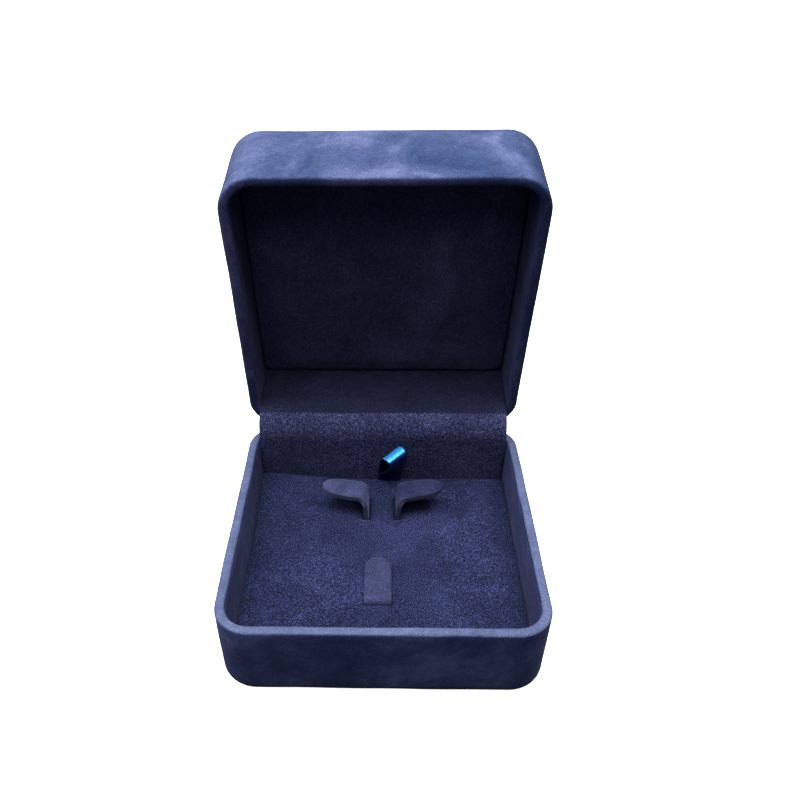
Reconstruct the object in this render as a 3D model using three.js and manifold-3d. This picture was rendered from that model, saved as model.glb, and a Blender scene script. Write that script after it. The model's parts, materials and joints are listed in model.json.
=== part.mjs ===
// Square ring box with rounded corners, standing open.
// Millimetres, +Z up. The origin is the centre of the underside, the hinge is at the back (+Y)
// and the mouth of the open box faces the front (-Y).

import * as THREE from "three";
import { mergeVertices } from "three/addons/utils/BufferGeometryUtils.js";
import Module from "manifold-3d";

// ---- Driving dimensions -------------------------------------------------------------------

const BOX_SIDE = 70; // width and depth of both halves
const CORNER_RADIUS = 8; // upright corners
const EDGE_RADIUS = 3; // edge around the top and the underside
const TOTAL_HEIGHT = 44.4; // closed box
const PARTING_Z = 20.5; // mid height of the gap between the two rims
const PARTING_GAP = 0.4;
const LID_OPEN = THREE.MathUtils.degToRad(81.4); // opening angle at the stop

const SUEDE = 0.5; // suede wrap on the outside
const BOARD = 1.2; // moulded wall
const LINING = 0.35; // suede lining on the inner walls
const GLUE = 0.05; // clearance between layers that are glued together
const FIT = 0.3; // clearance beside anything that moves
const TURN_IN = 3; // height of wrap folded over the rim into the box

const PAD_DROP = 12.2; // from the base rim down to the pad
const LID_PAD_DROP = 14.8; // from the lid rim up to the lid pad
const CARD = 1.2; // boards of the two pads
const PAD_REAR_Y = 27.6; // rear edge of both pads

const HINGE_Y = BOX_SIDE / 2 - 0.1;
const HINGE_Z = PARTING_Z;
const BARREL_RADIUS = 1.1;
const PIN_RADIUS = 0.5;
const BARREL_LENGTH = 36;
const LEAF_STEEL = 0.7;
const LEAF_DROP = 10.5; // how far a leaf reaches from the axis along the back wall
const LEAF_BACK = 2.35; // from the axis in to the leaf, through the back wall
const BORE_ROOM = 0.2; // between the pin and the knuckles
const RIVET_X = 12; // sideways from the middle of the box
const RIVET_DROP = 7.5; // from the axis
const RIVET_SHANK = 0.8; // radius
const RIVET_HEAD = 1.7; // radius
const RIVET_HEAD_HEIGHT = 0.7;
const RIVET_LENGTH = 2.7;
const SPRING_STEEL = 0.3;

const BRIDGE_RADIUS = 6.5; // hinge cover strip, centre of its thickness, round the hinge axis
const BRIDGE_THICKNESS = 0.8;
const BRIDGE_WIDTH = 64.6;
const BRIDGE_GAP = 0.6; // between the lengths of the strip, at the hinge
const SPACER_WIDTH = 58; // blocks that hold the strip off the back wall
const SPACER_ROOM = 0.6;
const LOWER_SPACER = 6.5; // height
const UPPER_SPACER = 8;

const FLAP_FRONT_Y = 11.1; // two upright flaps that hold a chain or an earring
const FLAP_WIDTH = 7.8;
const FLAP_ROOT_X = 3.9;
const FLAP_TIP_X = 15.2;
const FLAP_HEIGHT = 5.7; // pad to mid thickness at the bend
const FLAP_CARD = 1.1;
const FLAP_BEND = 1.5; // radius of the bend from stem to wing
const FLAP_LEAN = 0.4; // outward, over the height of the stem
const WING_RISE = THREE.MathUtils.degToRad(5);

const TAB_CENTRE_X = -1; // tongue that lies over the ring band
const TAB_WIDTH = 6.3;
const TAB_ROOT_Y = -17;
const TAB_LENGTH = 13.4;
const TAB_CARD = 0.9;
const TAB_BEND = 0.9; // radius at the root
const ROOT_DEPTH = 0.4; // of the flaps and the tab below the face of the pad
const SLIT_DEPTH = 1.4;

const RIBBON_CENTRE_X = 1.8;
const RIBBON_WIDTH = 6;
const RIBBON_THICKNESS = 0.35;
const RIBBON_RISE = 10.6; // loop above the pad
const RIBBON_TWIST = THREE.MathUtils.degToRad(40);
const RIBBON_LEAN = 2.5; // forward, at the top of the loop
const RIBBON_SWAY = 1.2; // to the right, at the top of the loop
const RIBBON_OPENING = 1.1; // half the depth of the loop near its top
const RIBBON_SLOT = 1.2; // depth of the slot in the pad's rear edge
const RIBBON_WAIST = 0.5; // above the pad, where the two layers part

const WINDOW_HALF = 27; // opening in the wrap under the box, which the underside sheet fills
const WINDOW_CORNER = 4;

const ARC_STEPS = 6; // facets in a quarter turn
const ROUND_STEPS = 16; // facets round a rivet or the pin
const RIBBON_STEPS = 6; // across the ribbon and up each layer, so that its twist stays smooth
const PAST = 1; // how far a cutting solid runs past the piece it cuts

// ---- Derived sizes ------------------------------------------------------------------------

const BASE_HEIGHT = PARTING_Z - PARTING_GAP / 2;
const LID_HEIGHT = TOTAL_HEIGHT - PARTING_Z - PARTING_GAP / 2;
const FOOT = 0.2; // the underside sheet stands this much proud of the wrap
const WALL_OUT = SUEDE + GLUE; // outer face of the moulded wall, from the outside of the box
const WALL_IN = WALL_OUT + BOARD;
const LINING_OUT = WALL_IN + GLUE;
const RIM = LINING_OUT + LINING; // whole width of the rim
const PAD_TOP = PARTING_Z - PAD_DROP;
const LID_PAD_DEPTH = TOTAL_HEIGHT - PARTING_Z - LID_PAD_DROP; // from the outside of the lid top
const FLOOR_TOP = FOOT + WALL_IN;
const PAD_BOTTOM = FLOOR_TOP + FIT;
const BRIDGE_Y = HINGE_Y - BRIDGE_RADIUS;
const LEAF_FRONT_Y = HINGE_Y - LEAF_BACK - LEAF_STEEL;
const RIBBON_Y = PAD_REAR_Y - RIBBON_SLOT / 2;

// ---- Materials ----------------------------------------------------------------------------

const finish = (color, roughness, metalness = 0) =>
  new THREE.MeshStandardMaterial({ color, roughness, metalness });

const suede = finish(0x2c3152, 0.95);
const liningSuede = finish(0x23284a, 0.95);
const board = finish(0x1c1c22, 0.7);
const card = finish(0x4a4a4e, 0.9);
const foam = finish(0x2e3038, 1);
const steel = finish(0xb8bcc2, 0.35, 1);
const satin = finish(0x1450b4, 0.35);

// ---- Solids -------------------------------------------------------------------------------

const wasm = await Module();
wasm.setup();

function toSolid(geometry) {
  const bare = geometry.clone();
  bare.deleteAttribute("normal");
  bare.deleteAttribute("uv");
  const merged = mergeVertices(bare);
  return new wasm.Manifold(
    new wasm.Mesh({
      numProp: 3,
      vertProperties: Float32Array.from(merged.attributes.position.array),
      triVerts: Uint32Array.from(merged.index.array),
    })
  );
}

function toGeometry(solid) {
  const mesh = solid.getMesh();
  const geometry = new THREE.BufferGeometry();
  geometry.setAttribute("position", new THREE.BufferAttribute(mesh.vertProperties, 3));
  geometry.setIndex(new THREE.BufferAttribute(mesh.triVerts, 1));
  return geometry;
}

const combine = (operation) => (first, ...others) =>
  toGeometry(others.reduce((solid, other) => solid[operation](toSolid(other)), toSolid(first)));

const cut = combine("subtract");
const join = combine("add");
const keep = combine("intersect");

// ---- Shapes -------------------------------------------------------------------------------

function block(x0, x1, y0, y1, z0, z1) {
  const geometry = new THREE.BoxGeometry(x1 - x0, y1 - y0, z1 - z0);
  return geometry.translate((x0 + x1) / 2, (y0 + y1) / 2, (z0 + z1) / 2);
}

// Outline with a radius of its own at the front pair and at the rear pair of corners.
function outline(x0, x1, y0, y1, frontRadius, rearRadius) {
  const shape = new THREE.Shape();
  const quarter = Math.PI / 2;
  shape.absarc(x0 + frontRadius, y0 + frontRadius, frontRadius, 2 * quarter, 3 * quarter, false);
  shape.absarc(x1 - frontRadius, y0 + frontRadius, frontRadius, 3 * quarter, 4 * quarter, false);
  shape.absarc(x1 - rearRadius, y1 - rearRadius, rearRadius, 0, quarter, false);
  shape.absarc(x0 + rearRadius, y1 - rearRadius, rearRadius, quarter, 2 * quarter, false);
  return shape;
}

function squareOutline(half) {
  return outline(-half, half, -half, half, WINDOW_CORNER, WINDOW_CORNER);
}

function prism(shape, z0, z1, steps = 1) {
  const settings = { depth: z1 - z0, steps, bevelEnabled: false, curveSegments: ARC_STEPS };
  return new THREE.ExtrudeGeometry(shape, settings).translate(0, 0, z0);
}

// A section drawn in Y and Z, carried along X.
function alongX(shape, x0, x1, steps = 1) {
  const turn = new THREE.Matrix4().makeBasis(
    new THREE.Vector3(0, 1, 0),
    new THREE.Vector3(0, 0, 1),
    new THREE.Vector3(1, 0, 0)
  );
  return prism(shape, x0, x1, steps).applyMatrix4(turn);
}

// A section drawn in X and Z, carried along Y.
function alongY(shape, y0, y1) {
  return prism(shape, -y1, -y0).rotateX(Math.PI / 2);
}

function arc(centreX, centreY, radius, from, to, steps = ARC_STEPS) {
  const curve = new THREE.EllipseCurve(centreX, centreY, radius, radius, from, to, to < from);
  return curve.getPoints(steps);
}

// Closed outline of a sheet of even thickness whose middle follows the given points.
function sheetSection(points, thickness) {
  const normals = points.map((point, i) => {
    const before = points[Math.max(i - 1, 0)];
    const after = points[Math.min(i + 1, points.length - 1)];
    const along = after.clone().sub(before).normalize();
    return new THREE.Vector2(-along.y, along.x).multiplyScalar(thickness / 2);
  });
  const left = points.map((point, i) => point.clone().add(normals[i]));
  const right = points.map((point, i) => point.clone().sub(normals[i]));
  return new THREE.Shape([...right, ...left.reverse()]);
}

const point = (x, y) => new THREE.Vector2(x, y);

// ---- The two halves -----------------------------------------------------------------------
// Both are drawn standing on their closed face, with the rim at the top.

// Solid of one half, drawn in by `inset` on the sides and cut off at `top`.
function halfSolid(inset, bottom, top) {
  const edge = EDGE_RADIUS - inset / 2;
  const half = BOX_SIDE / 2 - inset;
  const radius = CORNER_RADIUS - inset;
  const settings = {
    depth: BOX_SIDE,
    bevelEnabled: true,
    bevelThickness: edge,
    bevelSize: edge,
    bevelOffset: -edge,
    bevelSegments: ARC_STEPS / 2,
    curveSegments: ARC_STEPS,
  };
  const shape = outline(-half, half, -half, half, radius, radius);
  const body = new THREE.ExtrudeGeometry(shape, settings).translate(0, 0, bottom + edge);
  return keep(body, block(-BOX_SIDE, BOX_SIDE, -BOX_SIDE, BOX_SIDE, bottom - PAST, top));
}

function wallPrism(inset, bottom, top) {
  const half = BOX_SIDE / 2 - inset;
  const radius = CORNER_RADIUS - inset;
  return prism(outline(-half, half, -half, half, radius, radius), bottom, top);
}

// Space for the hinge barrel in the back rim.
function barrelNotch(rim) {
  const halfLength = BARREL_LENGTH / 2 + FIT;
  const depth = BARREL_RADIUS + FIT - PARTING_GAP / 2;
  const back = BOX_SIDE / 2 + PAST;
  return block(-halfLength, halfLength, LEAF_FRONT_Y - FIT, back, rim - depth, rim + PAST);
}

function rivetPlaces(rim) {
  return [-RIVET_X, RIVET_X].map((x) => point(x, rim + PARTING_GAP / 2 - RIVET_DROP));
}

function roundBar(radius, length) {
  return new THREE.CylinderGeometry(radius, radius, length, ROUND_STEPS);
}

// Holes through the leaf, the lining and the back wall.
function rivetHoles(rim) {
  const length = 2 * (LEAF_BACK + LEAF_STEEL);
  return rivetPlaces(rim).map(({ x, y: z }) =>
    roundBar(RIVET_SHANK + BORE_ROOM, length).translate(x, HINGE_Y - LEAF_BACK, z)
  );
}

function mouldedShell(bottom, rim) {
  const inner = wallPrism(WALL_IN, bottom + BOARD, rim + PAST);
  const outer = halfSolid(WALL_OUT, bottom, rim - WALL_OUT - GLUE);
  return cut(outer, inner, barrelNotch(rim), ...rivetHoles(rim));
}

// Suede over the outside and the rim, turned in over the edge.
function suedeWrap(bottom, rim) {
  const skin = cut(
    halfSolid(0, bottom, rim),
    halfSolid(SUEDE, bottom + SUEDE, rim - SUEDE),
    wallPrism(RIM, bottom + SUEDE, rim + PAST)
  );
  const turned = cut(
    wallPrism(LINING_OUT, rim - SUEDE - TURN_IN, rim - SUEDE / 2),
    wallPrism(RIM, rim - SUEDE - TURN_IN - PAST, rim + PAST)
  );
  return cut(join(skin, turned), barrelNotch(rim));
}

function wallLining(bottom, rim) {
  const top = rim - SUEDE - TURN_IN - GLUE;
  const bore = wallPrism(RIM, bottom - PAST, top + PAST);
  const band = cut(wallPrism(LINING_OUT, bottom, top), bore);
  return cut(band, ...rivetHoles(rim));
}

// ---- Hinge --------------------------------------------------------------------------------
// Sections are drawn in Y and Z from the hinge axis. The upper leaf is the lower one mirrored.

// Ends of the knuckles along the barrel.
const LOWER_KNUCKLES = [
  [-18, -13],
  [-2.5, 2.5],
  [13, 18],
];
const UPPER_KNUCKLES = [
  [-12.7, -8.8],
  [8.8, 12.7],
];

// Section of a snap spring from its foot up to the tip beside the knuckle: forward of the leaf,
// and up from the axis.
const SPRING_SECTION = [
  [0.45, -5.3],
  [0.45, -3.4],
  [0.95, -1.6],
  [0.65, -0.4],
  [-0.15, 0.2],
];

const disc = (radius) => new THREE.Shape().absarc(0, 0, radius, 0, 2 * Math.PI, false);

function knuckle([x0, x1]) {
  const arm = block(x0, x1, -LEAF_BACK, 0, -BARREL_RADIUS, LEAF_STEEL - BARREL_RADIUS);
  const bore = alongX(disc(PIN_RADIUS + BORE_ROOM), x0 - PAST, x1 + PAST);
  return cut(join(alongX(disc(BARREL_RADIUS), x0, x1), arm), bore);
}

function leaf(knuckles) {
  const half = BARREL_LENGTH / 2;
  const front = -LEAF_BACK - LEAF_STEEL;
  const top = LEAF_STEEL - BARREL_RADIUS;
  const plate = block(-half, half, front, -LEAF_BACK, -LEAF_DROP, top);
  const flange = block(-half, half, front, -BARREL_RADIUS - FIT, -BARREL_RADIUS, top);
  const whole = join(plate, flange, ...knuckles.map(knuckle)).translate(0, HINGE_Y, HINGE_Z);
  return cut(whole, ...rivetHoles(BASE_HEIGHT));
}

// Lies along Y with its head towards the inside of the box.
function rivet(x, z) {
  const flatten = new THREE.Vector2(1, RIVET_HEAD_HEIGHT / RIVET_HEAD);
  const round = arc(0, 0, RIVET_HEAD, -Math.PI / 2, 0).map((place) => place.multiply(flatten));
  const head = new THREE.LatheGeometry([...round, point(0, 0)], ROUND_STEPS);
  const shank = roundBar(RIVET_SHANK, RIVET_LENGTH).translate(0, RIVET_LENGTH / 2 - FIT, 0);
  return join(shank, head).translate(x, LEAF_FRONT_Y - GLUE, z);
}

function hingePin() {
  const shaft = roundBar(PIN_RADIUS, BARREL_LENGTH);
  return shaft.rotateZ(Math.PI / 2).translate(0, HINGE_Y, HINGE_Z);
}

// Bent spring steel beside the flats of an upper knuckle.
function snapSpring([x0, x1]) {
  const points = SPRING_SECTION.map(([forward, up]) => point(LEAF_FRONT_Y - forward, HINGE_Z + up));
  return alongX(sheetSection(points, SPRING_STEEL), x0 + FIT, x1 - FIT);
}

// ---- Hinge cover strip ----------------------------------------------------------------------

function bridgeSheet(points) {
  return alongX(sheetSection(points, BRIDGE_THICKNESS), -BRIDGE_WIDTH / 2, BRIDGE_WIDTH / 2);
}

function bridgeFold() {
  const margin = FIT / BRIDGE_RADIUS;
  const from = Math.PI - margin;
  const to = Math.PI - LID_OPEN + margin;
  return bridgeSheet(arc(HINGE_Y, HINGE_Z, BRIDGE_RADIUS, from, to, 2 * ARC_STEPS).reverse());
}

// ---- Pads -----------------------------------------------------------------------------------

const PAD_SIDE = BOX_SIDE / 2 - RIM - 0.25;
const PAD_FRONT_CORNER = CORNER_RADIUS - RIM - 0.25;
const PAD_REAR_CORNER = 1.5;

function padOutline(inset) {
  const side = PAD_SIDE - inset;
  const rear = PAD_REAR_CORNER - inset / 2;
  return outline(-side, side, -side, PAD_REAR_Y - inset, PAD_FRONT_CORNER - inset, rear);
}

function padCover(bottom, top) {
  const hollow = prism(padOutline(SUEDE), bottom - PAST, top - SUEDE);
  return cut(prism(padOutline(0), bottom, top), hollow);
}

function padFilling(bottom, top) {
  return prism(padOutline(SUEDE + GLUE), bottom, top);
}

// ---- Flaps and tab ----------------------------------------------------------------------------

// Strip with a round end at x = 0 in plan, from which it runs to -X; centred on y = 0.
function roundEnded(width, bottom, top) {
  const radius = width / 2;
  const plan = new THREE.Shape();
  plan.moveTo(-BOX_SIDE, -radius);
  plan.lineTo(-radius, -radius);
  plan.absarc(-radius, 0, radius, -Math.PI / 2, Math.PI / 2, false);
  plan.lineTo(-BOX_SIDE, radius);
  return prism(plan, bottom, top);
}

// Right flap: an upright stem that bends outward into a wing with a round tip.
function flap() {
  const centreX = FLAP_ROOT_X + FLAP_LEAN + FLAP_BEND;
  const centreZ = PAD_TOP + FLAP_HEIGHT - FLAP_BEND;
  const bend = arc(centreX, centreZ, FLAP_BEND, Math.PI, Math.PI / 2 + WING_RISE);
  const wingRoot = bend[bend.length - 1];
  const tipZ = wingRoot.y + (FLAP_TIP_X - wingRoot.x) * Math.tan(WING_RISE);
  const middle = [point(FLAP_ROOT_X, PAD_TOP - ROOT_DEPTH), ...bend, point(FLAP_TIP_X, tipZ)];
  const sheet = alongY(sheetSection(middle, FLAP_CARD), FLAP_FRONT_Y, FLAP_FRONT_Y + FLAP_WIDTH);
  const tip = roundEnded(FLAP_WIDTH, 0, PARTING_Z);
  return keep(sheet, tip.translate(FLAP_TIP_X, FLAP_FRONT_Y + FLAP_WIDTH / 2, 0));
}

// Slit in the pad round the root of a flap; side is -1 for the left one.
function flapSlit(side) {
  const half = FLAP_CARD / 2 + FIT;
  const front = FLAP_FRONT_Y - FIT;
  const back = FLAP_FRONT_Y + FLAP_WIDTH + FIT;
  const slit = block(-half, half, front, back, PAD_TOP - SLIT_DEPTH, PAD_TOP + PAST);
  return slit.translate(side * FLAP_ROOT_X, 0, 0);
}

// Tongue that comes up at its root and lies along the pad, with a round far end.
function ringTab() {
  const half = TAB_WIDTH / 2;
  const level = PAD_TOP + FIT + TAB_CARD / 2;
  const tip = TAB_ROOT_Y + TAB_LENGTH;
  const bend = arc(TAB_ROOT_Y + TAB_BEND, level - TAB_BEND, TAB_BEND, Math.PI, Math.PI / 2);
  const middle = [point(TAB_ROOT_Y, PAD_TOP - ROOT_DEPTH), ...bend, point(tip, level)];
  const end = roundEnded(TAB_WIDTH, 0, PARTING_Z).rotateZ(Math.PI / 2).translate(0, tip, 0);
  const tab = keep(alongX(sheetSection(middle, TAB_CARD), -half, half), end);
  return tab.translate(TAB_CENTRE_X, 0, 0);
}

function tabSlit() {
  const half = TAB_WIDTH / 2 + FIT;
  const reach = TAB_CARD / 2 + FIT;
  const slit = block(-half, half, -reach, reach, PAD_TOP - SLIT_DEPTH, PAD_TOP + PAST);
  return slit.translate(TAB_CENTRE_X, TAB_ROOT_Y, 0);
}

// ---- Ribbon -------------------------------------------------------------------------------

function ribbonSlot() {
  const half = RIBBON_WIDTH / 2 + FIT;
  const slot = block(-half, half, PAD_REAR_Y - RIBBON_SLOT, PAD_REAR_Y + PAST, 0, PARTING_Z);
  return slot.translate(RIBBON_CENTRE_X, 0, 0);
}

// Middle of the doubled ribbon in Y and Z: up the front layer, over the fold and down the back.
function ribbonCourse() {
  const apart = RIBBON_THICKNESS * 0.75;
  const eye = PAD_TOP + RIBBON_RISE - RIBBON_OPENING;
  const opening = new THREE.LineCurve(
    point(apart, PAD_TOP + RIBBON_WAIST),
    point(RIBBON_OPENING, eye)
  );
  const back = [point(apart, PAD_BOTTOM + CARD), ...opening.getPoints(RIBBON_STEPS)];
  const front = back.map(({ x, y }) => point(-x, y));
  const fold = arc(0, eye, RIBBON_OPENING, Math.PI, 0).slice(1, -1);
  return [...front, ...fold, ...back.reverse()];
}

// The loop leans forward and to the right and twists as it rises.
function leanAndTwist(vertex) {
  const share = THREE.MathUtils.smoothstep(vertex.z, PAD_TOP, PAD_TOP + RIBBON_RISE);
  vertex.applyAxisAngle(new THREE.Vector3(0, 0, 1), share * RIBBON_TWIST);
  vertex.x += RIBBON_CENTRE_X + share * RIBBON_SWAY;
  vertex.y += RIBBON_Y - share * RIBBON_LEAN;
  return vertex;
}

function ribbonLoop() {
  const half = RIBBON_WIDTH / 2;
  const section = sheetSection(ribbonCourse(), RIBBON_THICKNESS);
  const loop = alongX(section, -half, half, RIBBON_STEPS);
  const position = loop.attributes.position;
  for (let i = 0; i < position.count; i += 1) {
    const vertex = leanAndTwist(new THREE.Vector3().fromBufferAttribute(position, i));
    position.setXYZ(i, vertex.x, vertex.y, vertex.z);
  }
  return loop;
}

// ---- Assembly -------------------------------------------------------------------------------

const ringBox = new THREE.Group();

const lidSwing = new THREE.Group();
lidSwing.position.set(0, HINGE_Y, HINGE_Z);
lidSwing.rotation.x = -LID_OPEN;
ringBox.add(lidSwing);

// Pieces of the lid are placed as they lie in the closed box.
const lid = new THREE.Group();
lid.position.set(0, -HINGE_Y, -HINGE_Z);
lidSwing.add(lid);

function place(parent, name, geometry, material) {
  const mesh = new THREE.Mesh(geometry, material);
  mesh.name = name;
  parent.add(mesh);
}

// Turns a piece drawn standing on its closed face over into the lid.
const turnOver = (geometry) => geometry.rotateY(Math.PI).translate(0, 0, TOTAL_HEIGHT);

// Mirrors a piece of the lower half of the hinge into the upper half.
function mirrorUp(geometry) {
  return geometry.translate(0, 0, -HINGE_Z).rotateY(Math.PI).translate(0, 0, HINGE_Z);
}

function addBase() {
  const window = squareOutline(WINDOW_HALF);
  const sheet = prism(squareOutline(WINDOW_HALF - GLUE), 0, FOOT + SUEDE);
  const wrap = cut(suedeWrap(FOOT, BASE_HEIGHT), prism(window, -PAST, FOOT + PAST));
  place(ringBox, "base_shell", mouldedShell(FOOT + WALL_OUT, BASE_HEIGHT), board);
  place(ringBox, "base_wrap", wrap, suede);
  place(ringBox, "base_lining", wallLining(FLOOR_TOP + GLUE, BASE_HEIGHT), liningSuede);
  place(ringBox, "underside_sheet", sheet, suede);
}

function addLid() {
  place(lid, "lid_shell", turnOver(mouldedShell(WALL_OUT, LID_HEIGHT)), board);
  place(lid, "lid_wrap", turnOver(suedeWrap(0, LID_HEIGHT)), suede);
  place(lid, "lid_lining", turnOver(wallLining(WALL_IN + GLUE, LID_HEIGHT)), liningSuede);
}

function addLidPad() {
  const back = WALL_IN + FIT;
  const foamBack = back + CARD + GLUE;
  const foamFace = LID_PAD_DEPTH - SUEDE - GLUE;
  place(lid, "lid_pad_board", turnOver(padFilling(back, back + CARD)), card);
  place(lid, "lid_pad_foam", turnOver(padFilling(foamBack, foamFace)), foam);
  place(lid, "lid_pad_cover", turnOver(padCover(back, LID_PAD_DEPTH)), liningSuede);
}

function addHinge() {
  place(ringBox, "hinge_leaf_lower", leaf(LOWER_KNUCKLES), steel);
  place(lid, "hinge_leaf_upper", mirrorUp(leaf(UPPER_KNUCKLES)), steel);
  place(ringBox, "hinge_pin", hingePin(), steel);
  place(ringBox, "snap_spring_left", snapSpring(UPPER_KNUCKLES[0]), steel);
  place(ringBox, "snap_spring_right", snapSpring(UPPER_KNUCKLES[1]), steel);
  rivetPlaces(BASE_HEIGHT).forEach(({ x, y: z }) => {
    const side = x < 0 ? "left" : "right";
    place(ringBox, `rivet_lower_${side}`, rivet(x, z), steel);
    place(lid, `rivet_upper_${side}`, rivet(x, 2 * HINGE_Z - z), steel);
  });
}

// The strip that covers the hinge inside, and the blocks that hold it off the back wall.
function addBridge() {
  const low = FLOOR_TOP + FIT;
  const high = TOTAL_HEIGHT - WALL_IN - FIT;
  const lower = [point(BRIDGE_Y, low), point(BRIDGE_Y, HINGE_Z - BRIDGE_GAP / 2)];
  const upper = [point(BRIDGE_Y, HINGE_Z + BRIDGE_GAP / 2), point(BRIDGE_Y, high)];
  const front = BRIDGE_Y + BRIDGE_THICKNESS / 2 + GLUE;
  const back = BOX_SIDE / 2 - RIM - SPACER_ROOM;
  const side = SPACER_WIDTH / 2;
  place(ringBox, "bridge_lower", bridgeSheet(lower), liningSuede);
  place(ringBox, "bridge_fold", bridgeFold(), liningSuede);
  place(lid, "bridge_upper", bridgeSheet(upper), liningSuede);
  place(ringBox, "spacer_lower", block(-side, side, front, back, low, low + LOWER_SPACER), foam);
  place(lid, "spacer_upper", block(-side, side, front, back, high - UPPER_SPACER, high), foam);
}

function addPad() {
  const slits = [flapSlit(-1), flapSlit(1), tabSlit()];
  const foamBottom = PAD_BOTTOM + CARD + GLUE;
  const filling = padFilling(foamBottom, PAD_TOP - SUEDE - GLUE);
  const cardboard = padFilling(PAD_BOTTOM, PAD_BOTTOM + CARD);
  place(ringBox, "pad_board", cut(cardboard, ribbonSlot()), card);
  place(ringBox, "pad_foam", cut(filling, ribbonSlot(), ...slits), foam);
  place(ringBox, "pad_cover", cut(padCover(PAD_BOTTOM, PAD_TOP), ribbonSlot(), ...slits), liningSuede);
  place(ringBox, "ribbon_loop", ribbonLoop(), satin);
}

function addFlaps() {
  const leftFlap = flap().rotateZ(Math.PI).translate(0, 2 * FLAP_FRONT_Y + FLAP_WIDTH, 0);
  place(ringBox, "flap_right", flap(), suede);
  place(ringBox, "flap_left", leftFlap, suede);
  place(ringBox, "ring_tab", ringTab(), suede);
}

addBase();
addLid();
addLidPad();
addHinge();
addBridge();
addPad();
addFlaps();

export default ringBox;
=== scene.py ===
"""Suede ring box, standing open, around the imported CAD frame.

Lengths are in metres; the parts are drawn in millimetres and scaled when their mesh is made.
"""

import json
import math

import bmesh
import bpy
import numpy as np
from mathutils import Matrix, Vector, noise


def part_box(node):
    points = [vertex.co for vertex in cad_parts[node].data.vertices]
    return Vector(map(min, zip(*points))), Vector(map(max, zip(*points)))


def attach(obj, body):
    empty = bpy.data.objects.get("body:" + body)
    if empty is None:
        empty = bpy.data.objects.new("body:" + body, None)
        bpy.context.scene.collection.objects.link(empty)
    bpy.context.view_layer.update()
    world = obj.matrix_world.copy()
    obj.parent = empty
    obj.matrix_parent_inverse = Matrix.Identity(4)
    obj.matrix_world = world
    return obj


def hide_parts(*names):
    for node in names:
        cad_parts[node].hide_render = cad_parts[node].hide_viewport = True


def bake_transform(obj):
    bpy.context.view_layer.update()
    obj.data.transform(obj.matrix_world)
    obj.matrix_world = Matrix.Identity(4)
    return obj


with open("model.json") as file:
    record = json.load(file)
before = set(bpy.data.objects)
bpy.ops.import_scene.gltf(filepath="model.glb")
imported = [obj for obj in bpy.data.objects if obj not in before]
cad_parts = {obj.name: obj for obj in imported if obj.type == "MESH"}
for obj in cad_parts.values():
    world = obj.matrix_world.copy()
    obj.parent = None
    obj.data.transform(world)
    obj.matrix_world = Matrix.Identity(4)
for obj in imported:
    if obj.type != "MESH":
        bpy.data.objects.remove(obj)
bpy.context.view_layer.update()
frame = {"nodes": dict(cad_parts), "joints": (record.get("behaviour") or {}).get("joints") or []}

MM = 0.001


# ---- What the frame says ---------------------------------

def joint(name):
    """The frame's record of a joint."""
    return next(j for j in frame["joints"] if j["name"] == name)


def box_mm(node):
    """The box of a node in millimetres."""
    low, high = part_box(node)
    return np.array(low) / MM, np.array(high) / MM


HINGE = joint("lid_hinge")
HINGE_AT = np.array(HINGE["pos_m"]) / MM
LID_OPEN = math.radians(HINGE["range_deg"][1])


def swing(points, angle):
    """Turns points in millimetres about the hinge axis; a positive angle opens the lid."""
    points = np.asarray(points, float)
    y = points[:, 1] - HINGE_AT[1]
    z = points[:, 2] - HINGE_AT[2]
    cos, sin = math.cos(angle), math.sin(angle)
    return np.c_[points[:, 0], HINGE_AT[1] + y * cos + z * sin, HINGE_AT[2] - y * sin + z * cos]


def shut_box_mm(node):
    """The box of a lid node with the lid shut."""
    mesh = frame["nodes"][node].data
    corners = np.array([vertex.co for vertex in mesh.vertices]) / MM
    corners = swing(corners, -LID_OPEN)
    return corners.min(axis=0), corners.max(axis=0)


BASE_LOW, BASE_HIGH = box_mm("base_wrap")
LID_LOW, LID_HIGH = shut_box_mm("lid_wrap")
PAD_LOW, PAD_HIGH = box_mm("pad_cover")
LID_PAD_LOW, LID_PAD_HIGH = shut_box_mm("lid_pad_cover")
LINING_FOOT = box_mm("base_lining")[0][2]
BRIDGE_LOW, BRIDGE_HIGH = box_mm("bridge_lower")
BRIDGE_TOP = shut_box_mm("bridge_upper")[1][2]
FLAP_LOW, FLAP_HIGH = box_mm("flap_right")
TAB_LOW, TAB_HIGH = box_mm("ring_tab")
RIBBON_LOW, RIBBON_HIGH = box_mm("ribbon_loop")

HALF = BASE_HIGH[0]
CORNER = 8.0  # radius of the box's corners, seen from above
EDGE = 3.0  # radius of the edges round its closed faces
SIDE_REACH = HALF - CORNER

SKIN = 0.5  # thickness of the suede
RIM = 2.2  # width of the rim
RIM_EDGE = 0.68  # radius of the rim's edges
RIM_CROWN = 0.04  # how far the rim's middle stands up
RIM_PADDING = 0.6  # thickness of the suede where it lies on the rim
TURN_IN = 1.4  # depth of the turned suede that shows above the lining
TUCK = 1.6  # how far it runs on behind the lining
TURNED_SKIN = 0.4  # its thickness there
WINDOW_INSET = 8.0  # from the base's side to the opening in its underside

BARREL_HALF = box_mm("hinge_leaf_lower")[1][0] + 0.3
NOTCH = 1.2  # depth of the notch that the hinge barrel lies in
NOTCH_SLOPE = 0.15  # half the width of the step at each end of it
NOTCH_BLEND = 1.2  # depth below the notch over which the wall is squeezed down


# ---- Meshes ----------------------------------------------

def add_object(name, data):
    """A new object in the scene."""
    made = bpy.data.objects.new(name, data)
    bpy.context.scene.collection.objects.link(made)
    return made


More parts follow.
